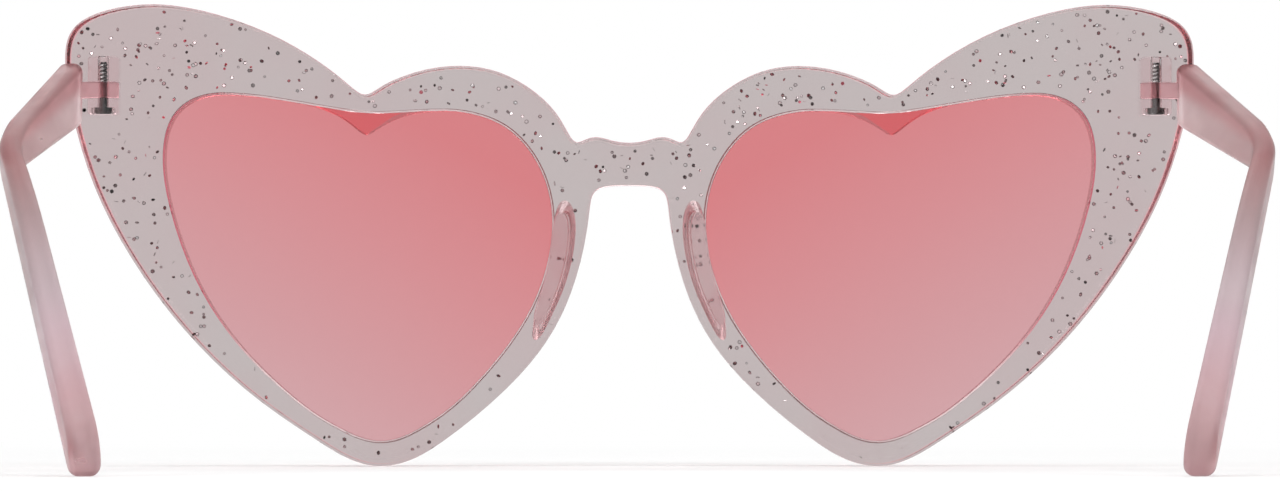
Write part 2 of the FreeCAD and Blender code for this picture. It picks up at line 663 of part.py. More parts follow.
def make_screw(doc):
    """Hinge screw, head down, with a plain shank and a screwdriver slot."""
    body = doc.addObject("PartDesign::Body", "hinge_screw_right")
    profile = body_sketch(body, "XZ_Plane", "screw_profile", Base__z=f"-({HINGE_Y})")
    bottom = f"{HINGE_Z} - dims.knuckle_below + dims.head_recess"
    shoulder = f"{bottom} + dims.head_height"
    top = f"{HINGE_Z} + dims.knuckle_above - dims.screw_end_depth"
    shank_x, head_x = (f"{HINGE_X} + dims.{name}_radius" for name in ("screw", "head"))
    polygon(profile, [
        (HINGE_X, bottom), (head_x, bottom), (head_x, shoulder),
        (shank_x, shoulder), (shank_x, top), (HINGE_X, top),
    ])
    turned = body.newObject("PartDesign::Revolution", "screw_turned")
    turned.Profile = profile
    turned.ReferenceAxis = (profile, ["Edge1"])
    turned.Angle = FULL_TURN
    doc.recompute()
    slot = body_sketch(body, "XY_Plane", "slot_plan", Base__z=bottom)
    sides = [f"{HINGE_X} {sign} (dims.head_radius + dims.overrun)" for sign in "-+"]
    edges = [f"{HINGE_Y} {sign} dims.slot_width / 2" for sign in "-+"]
    polygon(slot, [(sides[0], edges[0]), (sides[1], edges[0]), (sides[1], edges[1]), (sides[0], edges[1])])
    feature(body, "Pocket", "slot", slot, Length="dims.slot_depth").Reversed = True
    doc.recompute()
    return body


def pair(doc, right):
    """A right piece and its mirror, each named for its side."""
    return [centred(right), mirrored(doc, right.Name.replace("right", "left"), right)]


def centred(piece):
    return bind(piece, Placement__Base__y="dims.overall_depth / 2")


def build():
    doc = FreeCAD.newDocument("sunglasses")
    fill_sheet(doc)
    pieces = [centred(make_front(doc))]
    for make in (make_lens, make_nose_pad, make_temple, make_screw):
        pieces += pair(doc, make(doc))
    doc.recompute()
    return doc, pieces


def check(doc, pieces):
    for item in doc.Objects:
        if "Invalid" in item.State or "Error" in item.State:
            raise RuntimeError(f"{item.Name} did not build: {item.State}")
    for piece in pieces:
        if piece.Shape.isNull() or not piece.Shape.isValid() or len(piece.Shape.Solids) != 1:
            raise RuntimeError(f"{piece.Label} is not one valid solid")


def main():
    doc, pieces = build()
    check(doc, pieces)
    os.makedirs("parts", exist_ok=True)
    for piece in pieces:
        piece.Shape.exportStep(os.path.join("parts", piece.Label + ".step"))


if __name__ == "__main__":
    main()
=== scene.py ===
import json
import math
import random

import bmesh
import bpy
from mathutils import Euler, Matrix, Vector
from mathutils.bvhtree import BVHTree


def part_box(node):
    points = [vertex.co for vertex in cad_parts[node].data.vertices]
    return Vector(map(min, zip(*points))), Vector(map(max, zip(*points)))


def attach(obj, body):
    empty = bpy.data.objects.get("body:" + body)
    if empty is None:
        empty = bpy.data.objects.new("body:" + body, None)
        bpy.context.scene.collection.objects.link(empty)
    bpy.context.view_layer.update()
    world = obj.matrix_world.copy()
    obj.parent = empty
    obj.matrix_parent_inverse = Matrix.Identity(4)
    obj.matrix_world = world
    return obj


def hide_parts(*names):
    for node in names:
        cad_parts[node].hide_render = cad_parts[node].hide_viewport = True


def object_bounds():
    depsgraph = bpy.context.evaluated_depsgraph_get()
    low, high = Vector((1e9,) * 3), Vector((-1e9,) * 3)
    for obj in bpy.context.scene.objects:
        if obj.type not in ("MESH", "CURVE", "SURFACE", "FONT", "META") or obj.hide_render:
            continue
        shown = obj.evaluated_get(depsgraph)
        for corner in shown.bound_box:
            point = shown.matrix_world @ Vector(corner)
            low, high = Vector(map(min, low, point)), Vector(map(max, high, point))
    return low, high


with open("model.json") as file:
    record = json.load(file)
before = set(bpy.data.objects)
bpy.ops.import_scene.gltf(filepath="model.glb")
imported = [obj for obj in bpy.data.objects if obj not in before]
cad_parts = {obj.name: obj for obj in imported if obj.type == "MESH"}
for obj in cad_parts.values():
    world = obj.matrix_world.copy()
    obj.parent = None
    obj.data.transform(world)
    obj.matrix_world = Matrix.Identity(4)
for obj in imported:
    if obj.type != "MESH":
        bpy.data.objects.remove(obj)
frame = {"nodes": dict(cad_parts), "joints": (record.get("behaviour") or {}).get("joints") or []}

# Heart shaped sunglasses, seen from behind as they stand open on a white table.
# Metres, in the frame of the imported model: X to the wearer's right, Y the way the wearer looks, Z up.
# A noise is given by its scale and detail, and a bump by its strength and distance. A band is the two
# noise values that become 0 and 1, and a gloss the two that would become roughness 0 and 1.

CAD_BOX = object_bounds()
NODES = frame["nodes"]
HINGES = {joint["name"]: joint["pos_m"] for joint in frame["joints"]}
SIDES = ("left", "right")
MM = 0.001
WHITE = (1.0, 1.0, 1.0, 1.0)

# Sockets of a Mix node that blends colours: the factor and both colours, and the result.
MIX_INPUTS = (0, 6, 7)
MIX_RESULT = 2


def node(tree, kind, sockets=None, **settings):
    """Add a shader node. A socket's value is either a constant or another node's output."""
    made = tree.nodes.new("ShaderNode" + kind)
    for key, value in settings.items():
        setattr(made, key, value)
    for key, value in (sockets or {}).items():
        if isinstance(value, bpy.types.NodeSocket):
            tree.links.new(value, made.inputs[key])
        else:
            made.inputs[key].default_value = value
    return made


def math_node(tree, operation, *values, clamp=False):
    return node(tree, "Math", dict(enumerate(values)), operation=operation, use_clamp=clamp).outputs[0]


def remap(tree, value, low, high, smooth=True):
    """0 at low, 1 at high, held at both ends."""
    kind = "SMOOTHSTEP" if smooth else "LINEAR"
    made = node(
        tree, "MapRange", {"Value": value, "From Min": low, "From Max": high},
        interpolation_type=kind, clamp=True,
    )
    return made.outputs["Result"]


def between(tree, value, low, high):
    """1 from low to high, 0 outside."""
    above = math_node(tree, "GREATER_THAN", value, low)
    return math_node(tree, "MULTIPLY", above, math_node(tree, "LESS_THAN", value, high))


def vector_length(tree, vector):
    return node(tree, "VectorMath", {0: vector}, operation="LENGTH").outputs["Value"]


def axis_distance(tree, x, y):
    """Distance from an upright axis."""
    return vector_length(tree, node(tree, "CombineXYZ", {"X": x, "Y": y}).outputs[0])


def ramp(tree, factor, stops):
    """Colour ramp through (place, colour) stops."""
    made = node(tree, "ValToRGB", {"Fac": factor})
    elements = made.color_ramp.elements
    while len(elements) < len(stops):
        elements.new(1.0)
    for element, (place, colour) in zip(elements, stops):
        element.position = place
        element.color = (*colour, 1.0)
    return made.outputs["Color"]


def blend_colours(tree, factor, *colours):
    """First colour at 0, second at 1. A colour is either three numbers or another node's output."""
    ends = [end if isinstance(end, bpy.types.NodeSocket) else (*end, 1.0) for end in colours]
    made = node(tree, "Mix", dict(zip(MIX_INPUTS, (factor, *ends))), data_type="RGBA")
    return made.outputs[MIX_RESULT]


def noise(tree, place, scale, detail):
    return node(tree, "TexNoise", {"Vector": place, "Scale": scale, "Detail": detail}).outputs["Fac"]


def drift(tree, grain, reach):
    """Noise that strays as far below zero as above it."""
    return math_node(tree, "MULTIPLY_ADD", grain, 2 * reach, -reach)


def bump(tree, height, strength, distance):
    made = node(tree, "Bump", {"Height": height, "Strength": strength, "Distance": distance})
    return made.outputs["Normal"]


def new_material(name):
    material = bpy.data.materials.new(name)
    material.use_nodes = True
    material.node_tree.nodes.clear()
    return material, material.node_tree


def output(tree, surface, volume=None):
    sockets = {"Surface": surface.outputs[0]}
    if volume:
        sockets["Volume"] = volume.outputs[0]
    node(tree, "OutputMaterial", sockets)


def axes(tree, vector):
    """X, Y and Z of a vector."""
    return node(tree, "SeparateXYZ", {"Vector": vector}).outputs


def object_place(tree):
    """Place on the object at rest."""
    return node(tree, "TexCoord").outputs["Object"]


def object_normal(tree):
    """X, Y and Z of the normal on the object at rest."""
    return axes(tree, node(tree, "TexCoord").outputs["Normal"])


# Clear pink plastic of the front: pale grey-pink through the face, clear on the shoulder that the lens
# lies against and in the hinge bores, and pinker along the cut walls. Depths are from the curved face.
FACE_RADIUS = 280 * MM
FACE_CENTRE_Y = CAD_BOX[1].y - FACE_RADIUS
FRONT_DEPTH = 4.6 * MM
FACE_TINT = (0.537, 0.542, 0.535)
FACE_TINT_WARM = (0.546, 0.512, 0.511)
FACE_NOISE = (55.0, 3.0)
FACE_BAND = (0.35, 0.7)
SHOULDER_TINT = (1.000, 0.930, 0.930)
SHOULDER_DEPTHS = (0.8 * MM, 2.2 * MM)
KNUCKLE_TINT = (0.540, 0.550, 0.550)
BORE_TINT = (1.000, 1.000, 1.000)
BORE_REACH = 1.3 * MM
HINGE_PLACE = HINGES["right_temple_hinge"]
WALL_LEAN = (0.85, 0.60)
WALL_DEPTHS = (4.2 * MM, 3.4 * MM)
WALL_SATIN = 0.5
WALL_TINT = (0.980, 0.370, 0.430)
EDGE_TINT = (0.800, 0.320, 0.370)
RIM_TINT = (0.900, 0.720, 0.725)
RIM_HEIGHTS = (26 * MM, 44 * MM)
HEART_MIDDLE = (36 * MM, 27 * MM)
OPENING_TINT = (1.000, 0.450, 0.490)
OPENING_HIGHLIGHT_LEAN = (0.3, 0.7)
LIP_TINT = (0.950, 0.760, 0.770)
LIP_TINT_OUTER = (0.600, 0.100, 0.140)
LIP_DEPTH = 4.1 * MM
LIP_RUN = (46 * MM, 56 * MM)
FRONT_GLOSS_NOISE = (900.0, 2.0)
FRONT_GLOSS = (-2.0, 16.0)
FRONT_RIPPLE_NOISE = (320.0, 2.0)
FRONT_BUMP = (0.05, 0.4 * MM)
FRONT_ABSORB = (0.894, 0.031, 0.125, 1.0)
FRONT_DENSITY = 32.0
FRONT_IOR = 1.33


def front_depth(tree, at):
    """Depth behind the curved face of the front."""
    from_centre = math_node(tree, "SUBTRACT", at["Y"], FACE_CENTRE_Y)
    return math_node(tree, "SUBTRACT", FACE_RADIUS, axis_distance(tree, at["X"], from_centre))


def hinge_bore(tree, at):
    """1 on the walls round the hinge screws."""
    across = math_node(tree, "SUBTRACT", math_node(tree, "ABSOLUTE", at["X"]), HINGE_PLACE[0])
    along = math_node(tree, "SUBTRACT", at["Y"], HINGE_PLACE[1])
    return math_node(tree, "LESS_THAN", axis_distance(tree, across, along), BORE_REACH)


def faces_opening(tree, at, normal):
    """1 on the walls that face the middle of their own heart."""
    middle_x = math_node(tree, "MULTIPLY", math_node(tree, "SIGN", at["X"]), HEART_MIDDLE[0])
    out_x = math_node(tree, "SUBTRACT", at["X"], middle_x)
    out_z = math_node(tree, "SUBTRACT", at["Z"], HEART_MIDDLE[1])
    outward = math_node(
        tree, "MULTIPLY_ADD", out_x, normal["X"], math_node(tree, "MULTIPLY", out_z, normal["Z"])
    )
    return math_node(tree, "LESS_THAN", outward, 0.0)


def face_colour(tree, place, at, normal, depth):
    """Cloudy face, plain knuckles, clear shoulder and bores."""
    clouds = remap(tree, noise(tree, place, *FACE_NOISE), *FACE_BAND)
    shoulder = math_node(
        tree, "MULTIPLY", between(tree, depth, *SHOULDER_DEPTHS),
        math_node(tree, "LESS_THAN", normal["Y"], -WALL_LEAN[0]),
    )
    knuckle = math_node(tree, "GREATER_THAN", depth, FRONT_DEPTH)
    colour = blend_colours(tree, clouds, FACE_TINT, FACE_TINT_WARM)
    colour = blend_colours(tree, shoulder, colour, SHOULDER_TINT)
    colour = blend_colours(tree, knuckle, colour, KNUCKLE_TINT)
    return blend_colours(tree, hinge_bore(tree, at), colour, BORE_TINT)


def outer_colour(tree, at, face, ahead):
    """Outer walls: pale low on the rims, pink in the flares, darker at the rear edge."""
    high = remap(tree, at["Z"], *RIM_HEIGHTS)
    edge = blend_colours(tree, high, face, EDGE_TINT)
    return blend_colours(tree, ahead, edge, blend_colours(tree, high, RIM_TINT, WALL_TINT))


def opening_colour(tree, at, normal, lip):
    """Walls of the openings: pink, left clear overhead as a painted highlight, with a lip at the rear that
    darkens outwards.
    """
    # Painted highlight: walls facing down are left clear, so light from above shows through them as a
    # bright line along the top of each opening.
    overhead_highlight = remap(tree, math_node(tree, "MULTIPLY", normal["Z"], -1.0), *OPENING_HIGHLIGHT_LEAN)
    walls = blend_colours(tree, overhead_highlight, OPENING_TINT, SHOULDER_TINT)
    run = remap(tree, math_node(tree, "ABSOLUTE", at["X"]), *LIP_RUN)
    return blend_colours(tree, lip, walls, blend_colours(tree, run, LIP_TINT, LIP_TINT_OUTER))


def clear_plastic():
    material, tree = new_material("clear_pink_plastic")
    place = object_place(tree)
    at = axes(tree, place)
    normal = object_normal(tree)
    depth = front_depth(tree, at)
    lean = remap(tree, math_node(tree, "ABSOLUTE", normal["Y"]), *WALL_LEAN)
    wall = math_node(tree, "MULTIPLY", lean, math_node(tree, "LESS_THAN", depth, FRONT_DEPTH))
    ahead = remap(tree, depth, *WALL_DEPTHS)
    lip = math_node(tree, "GREATER_THAN", depth, LIP_DEPTH)
    inner = faces_opening(tree, at, normal)
    outer = math_node(tree, "SUBTRACT", 1.0, inner)
    face = face_colour(tree, place, at, normal, depth)
    walls = blend_colours(
        tree, inner, outer_colour(tree, at, face, ahead), opening_colour(tree, at, normal, lip)
    )
    satin = math_node(
        tree, "MAXIMUM", math_node(tree, "MULTIPLY", outer, ahead), math_node(tree, "MULTIPLY", inner, lip)
    )
    satin = math_node(tree, "MULTIPLY", wall, satin)
    surface = node(tree, "BsdfPrincipled", {
        "Base Color": blend_colours(tree, wall, face, walls),
        "Roughness": remap(tree, noise(tree, place, *FRONT_GLOSS_NOISE), *FRONT_GLOSS, smooth=False),
        "IOR": FRONT_IOR,
        "Transmission Weight": math_node(tree, "MULTIPLY_ADD", satin, -WALL_SATIN, 1.0),
        "Normal": bump(tree, noise(tree, place, *FRONT_RIPPLE_NOISE), *FRONT_BUMP),
    })
    volume = node(tree, "VolumeAbsorption", {"Color": FRONT_ABSORB, "Density": FRONT_DENSITY})
    output(tree, surface, volume)
    return material


# Tinted lens: strongest at the top and towards the nose, paler towards the heart tip. In the cleft its
# edge climbs either side of the middle, by a slope and from a height over the cleft's bottom.
LENS_STOPS = (
    (0.00, (0.635, 0.351, 0.372)),
    (0.21, (0.640, 0.314, 0.335)),
    (0.58, (0.660, 0.255, 0.275)),
    (1.00, (0.668, 0.193, 0.210)),
)
LENS_HEIGHTS = (4 * MM, 50 * MM)
LENS_MIDDLE_X = 36 * MM
LENS_NOSE_PULL = 0.55
LENS_NOISE = (40.0, 2.0)
LENS_DRIFT = 0.03
LENS_CLEFT = (0.860, 0.150, 0.170)
CLEFT_MIDDLE_X = 35 * MM
CLEFT_BOTTOM = 44.1 * MM
CLEFT_TIP = (0.69, -0.1 * MM)
CLEFT_FLANK = (0.42, 0.85 * MM)
LENS_EDGE = (0.700, 0.100, 0.130)
LENS_GLOSS_NOISE = (700.0, 2.0)
LENS_GLOSS = (-1.0, 20.0)
LENS_RIPPLE_NOISE = (120.0, 2.0)
LENS_BUMP = (0.03, 0.3 * MM)
LENS_IOR = 1.5


def lens_cleft(tree, across, z):
    """1 on the edge of the lens in the cleft of its heart."""
    off = math_node(tree, "ABSOLUTE", math_node(tree, "SUBTRACT", across, CLEFT_MIDDLE_X))
    edge = math_node(
        tree, "MINIMUM", math_node(tree, "MULTIPLY_ADD", off, *CLEFT_TIP),
        math_node(tree, "MULTIPLY_ADD", off, *CLEFT_FLANK),
    )
    return math_node(tree, "GREATER_THAN", math_node(tree, "SUBTRACT", z, CLEFT_BOTTOM), edge)


def lens_plastic():
    material, tree = new_material("tinted_lens_plastic")
    place = object_place(tree)
    at = axes(tree, place)
    across = math_node(tree, "ABSOLUTE", at["X"])
    towards_nose = math_node(tree, "SUBTRACT", LENS_MIDDLE_X, across)
    height = math_node(tree, "MULTIPLY_ADD", towards_nose, LENS_NOSE_PULL, at["Z"])
    shade = remap(tree, height, *LENS_HEIGHTS, smooth=False)
    stray = drift(tree, noise(tree, place, *LENS_NOISE), LENS_DRIFT)
    colour = ramp(tree, math_node(tree, "ADD", shade, stray, clamp=True), LENS_STOPS)
    colour = blend_colours(tree, lens_cleft(tree, across, at["Z"]), colour, LENS_CLEFT)
    rim = remap(tree, math_node(tree, "ABSOLUTE", object_normal(tree)["Y"]), *WALL_LEAN)
    surface = node(tree, "BsdfPrincipled", {
        "Base Color": blend_colours(tree, rim, colour, LENS_EDGE),
        "Roughness": remap(tree, noise(tree, place, *LENS_GLOSS_NOISE), *LENS_GLOSS, smooth=False),
        "IOR": LENS_IOR,
        "Transmission Weight": 1.0,
        "Normal": bump(tree, noise(tree, place, *LENS_RIPPLE_NOISE), *LENS_BUMP),
    })
    output(tree, surface)
    return material


# Clear plastic of the nose pads, pinker than the face of the front.
PAD_TINT = (0.95, 0.77, 0.78)
PAD_TINT_DEEP = (0.94, 0.65, 0.67)
PAD_NOISE = (160.0, 2.0)
PAD_BAND = (0.35, 0.65)
PAD_GLOSS_NOISE = (900.0, 2.0)
PAD_GLOSS = (-1.0, 10.0)
PAD_RIPPLE_NOISE = (400.0, 2.0)
PAD_BUMP = (0.05, 0.3 * MM)
PAD_IOR = 1.36


def pad_plastic():
    material, tree = new_material("nose_pad_plastic")
    place = object_place(tree)
    clouds = remap(tree, noise(tree, place, *PAD_NOISE), *PAD_BAND)
    surface = node(tree, "BsdfPrincipled", {
        "Base Color": blend_colours(tree, clouds, PAD_TINT, PAD_TINT_DEEP),
        "Roughness": remap(tree, noise(tree, place, *PAD_GLOSS_NOISE), *PAD_GLOSS, smooth=False),
        "IOR": PAD_IOR,
        "Transmission Weight": 1.0,
        "Normal": bump(tree, noise(tree, place, *PAD_RIPPLE_NOISE), *PAD_BUMP),
    })
    output(tree, surface)
    return material


# Frosted temples: darkest at the tip, greyer at the ear bend and palest at the hinge, with a pink core
# along the arm, painted shade on the top where it faces up, and a pink hinge tongue. Towards the root they
# are clearer and rougher.
TEMPLE_RUN = (-73 * MM, 58 * MM)
TEMPLE_STOPS = (
    (0.00, (0.50, 0.33, 0.33)),
    (0.04, (0.59, 0.37, 0.38)),
    (0.11, (0.66, 0.48, 0.53)),
    (0.15, (0.65, 0.51, 0.55)),
    (0.23, (0.50, 0.42, 0.43)),
    (0.33, (0.62, 0.52, 0.52)),
    (0.55, (0.74, 0.61, 0.61)),
    (0.86, (0.84, 0.69, 0.69)),
    (1.00, (0.87, 0.72, 0.73)),
)
TEMPLE_DRAW = (1.0, 0.1, 1.0)
TEMPLE_NOISE = (70.0, 2.0)
TEMPLE_DRIFT = 0.03
CORE_TINT = (0.660, 0.335, 0.350)
CORE_SLOPE = 0.118
CORE_LEVEL = 44.2 * MM
CORE_REACH = (-2.6 * MM, -0.2 * MM)
CORE_RUN = (-36 * MM, -20 * MM)
CORE_SHARE = 0.9
# Painted shade on the up-facing top of the arm: its colour, how far the normal must face up, and where
# along the arm it fades in.
TOP_PAINTED_SHADE = (0.370, 0.150, 0.155)
TOP_SHADE_LEAN = (-0.05, 0.5)
TOP_SHADE_RUN = (-44 * MM, -30 * MM)
TONGUE_TINT = (1.000, 0.660, 0.690)
TONGUE_REACH = 72 * MM
TONGUE_START = 50 * MM
MOTTLE_TINT = (0.700, 0.600, 0.605)
MOTTLE_NOISE = (160.0, 3.0)
MOTTLE_BAND = (0.45, 0.8)
MOTTLE_SHARE = 0.3
FROST_NOISE = (260.0, 2.0)
FROST_GLOSS = (-0.6, 2.6)
GRAIN_NOISE = (900.0, 2.0)
GRAIN_BUMP = (0.08, 0.05 * MM)
ROOT_RUN = (34 * MM, 56 * MM)
ROOT_FROST = 0.4
ARM_CLEAR = 0.75
TEMPLE_SHINE = 0.15
TEMPLE_IOR = 1.2


def temple_colour(tree, drawn, at):
    along = remap(tree, at["Y"], *TEMPLE_RUN, smooth=False)
    stray = drift(tree, noise(tree, drawn, *TEMPLE_NOISE), TEMPLE_DRIFT)
    colour = ramp(tree, math_node(tree, "ADD", along, stray, clamp=True), TEMPLE_STOPS)
    level = math_node(tree, "MULTIPLY_ADD", at["Y"], CORE_SLOPE, CORE_LEVEL)
    above = remap(tree, math_node(tree, "SUBTRACT", at["Z"], level), *CORE_REACH)
    core = math_node(tree, "MULTIPLY", above, remap(tree, at["Y"], *CORE_RUN))
    colour = blend_colours(tree, math_node(tree, "MULTIPLY", core, CORE_SHARE), colour, CORE_TINT)
    # Painted shade: the arm's top, where it faces up, is darkened from before the ear bend to the hinge.
    upward = remap(tree, object_normal(tree)["Z"], *TOP_SHADE_LEAN)
    top_shade = math_node(tree, "MULTIPLY", upward, remap(tree, at["Y"], *TOP_SHADE_RUN))
    colour = blend_colours(tree, top_shade, colour, TOP_PAINTED_SHADE)
    tongue = math_node(
        tree, "MULTIPLY",
        math_node(tree, "LESS_THAN", math_node(tree, "ABSOLUTE", at["X"]), TONGUE_REACH),
        math_node(tree, "GREATER_THAN", at["Y"], TONGUE_START),
    )
    colour = blend_colours(tree, tongue, colour, TONGUE_TINT)
    mottle = remap(tree, noise(tree, drawn, *MOTTLE_NOISE), *MOTTLE_BAND)
    return blend_colours(tree, math_node(tree, "MULTIPLY", mottle, MOTTLE_SHARE), colour, MOTTLE_TINT)


def frosted_plastic():
    material, tree = new_material("frosted_temple_plastic")
    place = object_place(tree)
    at = axes(tree, place)
    drawn = node(tree, "Mapping", {"Vector": place, "Scale": TEMPLE_DRAW}).outputs[0]
    root = remap(tree, at["Y"], *ROOT_RUN)
    frost = remap(tree, noise(tree, drawn, *FROST_NOISE), *FROST_GLOSS, smooth=False)
    surface = node(tree, "BsdfPrincipled", {
        "Base Color": temple_colour(tree, drawn, at),
        "Roughness": math_node(
            tree, "MULTIPLY", frost, math_node(tree, "MULTIPLY_ADD", root, ROOT_FROST, 1.0)
        ),
        "IOR": TEMPLE_IOR,
        "Specular IOR Level": TEMPLE_SHINE,
        "Transmission Weight": math_node(tree, "MULTIPLY_ADD", root, 1.0 - ARM_CLEAR, ARM_CLEAR),
        "Normal": bump(tree, noise(tree, drawn, *GRAIN_NOISE), *GRAIN_BUMP),
    })
    output(tree, surface)
    return material


# Steel of the hinge screws, with painted light: bright on the side towards -X and painted shade on the
# other, and a second, darker steel with painted shade for what lies in shade.
STEEL_COLOURS = {
    "screw_steel": ((0.10, 0.09, 0.09), (0.90, 0.88, 0.88)),
    "screw_shade": ((0.05, 0.045, 0.045), (0.22, 0.20, 0.20)),
}
STEEL_TURN = (0.35, -0.25)
STEEL_NOISE = (1500.0, 3.0)
STEEL_LIGHT_WOBBLE = 0.3
STEEL_GLOSS_NOISE = (3000.0, 2.0)
STEEL_GLOSS = (-0.4, 2.4)


def screw_steel(name):
    dark, light = STEEL_COLOURS[name]
    material, tree = new_material(name)
    place = object_place(tree)
    # Painted light and shade by the side the normal faces in X, with a noisy boundary between them.
    light_wobble = drift(tree, noise(tree, place, *STEEL_NOISE), STEEL_LIGHT_WOBBLE)
    lit = remap(tree, math_node(tree, "ADD", object_normal(tree)["X"], light_wobble), *STEEL_TURN)
    surface = node(tree, "BsdfPrincipled", {
        "Base Color": blend_colours(tree, lit, dark, light),
        "Metallic": 1.0,
        "Roughness": remap(tree, noise(tree, place, *STEEL_GLOSS_NOISE), *STEEL_GLOSS, smooth=False),
    })
    output(tree, surface)
    return material


# Foil of the glitter flakes, in four finishes.
FLAKE_COLOURS = {
    "glitter_dark": ((0.060, 0.055, 0.056), (0.26, 0.24, 0.24)),
    "glitter_grey": ((0.28, 0.26, 0.26), (0.56, 0.52, 0.52)),
    "glitter_silver": ((0.80, 0.80, 0.81), (0.97, 0.97, 0.98)),
    "glitter_pink": ((0.50, 0.08, 0.13), (0.80, 0.28, 0.34)),
}
FOIL_NOISE = (600.0, 1.0)
FOIL_BAND = (0.35, 0.65)
FOIL_GLOSS_NOISE = (1800.0, 2.0)
FOIL_GLOSS = (0.2, 3.5)


def glitter_foil(name):
    low, high = FLAKE_COLOURS[name]
    material, tree = new_material(name)
    place = object_place(tree)
    spread = remap(tree, noise(tree, place, *FOIL_NOISE), *FOIL_BAND)
    surface = node(tree, "BsdfPrincipled", {
        "Base Color": blend_colours(tree, spread, low, high),
        "Metallic": 1.0,
        "Roughness": remap(tree, noise(tree, place, *FOIL_GLOSS_NOISE), *FOIL_GLOSS, smooth=False),
    })
    output(tree, surface)
    return material


def paint(material, *names):
    for name in names:
        mesh = NODES[name].data
        mesh.materials.clear()
        mesh.materials.append(material)


def finished_object(name, mesh, body, materials):
    made = bpy.data.objects.new(name, mesh)
    bpy.context.scene.collection.objects.link(made)
    for material in materials:
        mesh.materials.append(material)
    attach(made, body)
    return made


# Glitter: thin six-sided flakes cast into the front, between its face and its rear, sparser low on the
# rims. Some lean so that they catch the light, and the grey and silver ones have dark rims.
FLAKE_COUNT = 600
FLAKE_SEED = 11
FLAKE_RADIUS = (0.18 * MM, 0.31 * MM)
FLAKE_THICKNESS = 0.03 * MM
FLAKE_SIDES = 6
FLAKE_SKIN = 0.5 * MM
FLAKE_MARGIN = 0.6 * MM
FLAKE_TILT = 38.0
FLAKE_FINISHES = tuple(FLAKE_COLOURS)
FLAKE_SHARES = (0.16, 0.47, 0.25, 0.12)
RIMMED_FINISHES = ("glitter_grey", "glitter_silver")
RIM_FINISH = "glitter_dark"
RIM_SHARE = 0.32
SPARKLE_FINISH = "glitter_silver"
SPARKLE_SHARE = 0.30
SPARKLE_LEAN = 20.7
SPARKLE_TILT = (0.9, 5.0)
FULL_THICKNESS = (3.9 * MM, 4.9 * MM)
SPARSE_SHARE = 0.4
SPARSE_HEIGHTS = (12 * MM, 46 * MM)
NEIGHBOURS = ((0, 0), (1, 0), (-1, 0), (0, 1), (0, -1))
RAY_STEP = 0.01 * MM


def plastic_depth(bvh, x, z, start):
    """Y of the rear and of the face of the front where it is solid all through, or None."""
    depths = []
    origin = Vector((x, start, z))
    while len(depths) <= 2:
        hit = bvh.ray_cast(origin, Vector((0, 1, 0)))[0]
        if hit is None:
            break
        depths.append(hit.y)
        origin = hit + Vector((0, RAY_STEP, 0))
    if len(depths) != 2 or not FULL_THICKNESS[0] < depths[1] - depths[0] < FULL_THICKNESS[1]:
        return None
    return depths


def glitter_places(draw):
    front = NODES["frame_front"].data
    bvh = BVHTree.FromPolygons(
        [vertex.co for vertex in front.vertices], [tuple(face.vertices) for face in front.polygons]
    )
    low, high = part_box("frame_front")
    places = []
    while len(places) < FLAKE_COUNT:
        x = draw.uniform(low.x, high.x)
        z = draw.uniform(low.z, high.z)
        share = draw.uniform(0, 1)
        rise = min(max((z - SPARSE_HEIGHTS[0]) / (SPARSE_HEIGHTS[1] - SPARSE_HEIGHTS[0]), 0), 1)
        depths = [
            plastic_depth(bvh, x + across * FLAKE_MARGIN, z + up * FLAKE_MARGIN, low.y - FLAKE_SKIN)
            for across, up in NEIGHBOURS
        ]
        if None in depths or share > SPARSE_SHARE + (1 - SPARSE_SHARE) * rise:
            continue
        rear, face = depths[0]
        places.append(Vector((x, draw.uniform(rear + FLAKE_SKIN, face - FLAKE_SKIN), z)))
    return places


def add_flake(flakes, place, draw):
    radius = draw.uniform(*FLAKE_RADIUS)
    sparkles = draw.uniform(0, 1) < SPARKLE_SHARE
    nod, turn = SPARKLE_TILT if sparkles else (FLAKE_TILT, FLAKE_TILT)
    lean = Euler((
        math.radians(90 - SPARKLE_LEAN * sparkles + draw.gauss(0, nod)), 0.0,
        math.radians(draw.gauss(0, turn)),
    ))
    spin = Matrix.Rotation(draw.uniform(0, math.tau), 4, "Z")
    made = bmesh.ops.create_cone(
        flakes, cap_ends=True, segments=FLAKE_SIDES, radius1=radius, radius2=radius,
        depth=FLAKE_THICKNESS, matrix=Matrix.Translation(place) @ lean.to_matrix().to_4x4() @ spin,
    )
    finish = draw.choices(FLAKE_FINISHES, FLAKE_SHARES)[0]
    finish = SPARKLE_FINISH if sparkles else finish
    faces = {face for vertex in made["verts"] for face in vertex.link_faces}
    caps = [face for face in faces if len(face.verts) == FLAKE_SIDES]
    for face in faces:
        face.material_index = FLAKE_FINISHES.index(finish)
    if finish in RIMMED_FINISHES:
        rims = bmesh.ops.inset_individual(flakes, faces=caps, thickness=radius * RIM_SHARE)
        for face in [*rims["faces"], *(faces - set(caps))]:
            face.material_index = FLAKE_FINISHES.index(RIM_FINISH)


def make_glitter():
    draw = random.Random(FLAKE_SEED)
    flakes = bmesh.new()
    for place in glitter_places(draw):
        add_flake(flakes, place, draw)
    mesh = bpy.data.meshes.new("glitter")
    flakes.to_mesh(mesh)
    flakes.free()
    foils = [glitter_foil(name) for name in FLAKE_FINISHES]
    finished_object("glitter", mesh, "front", foils)


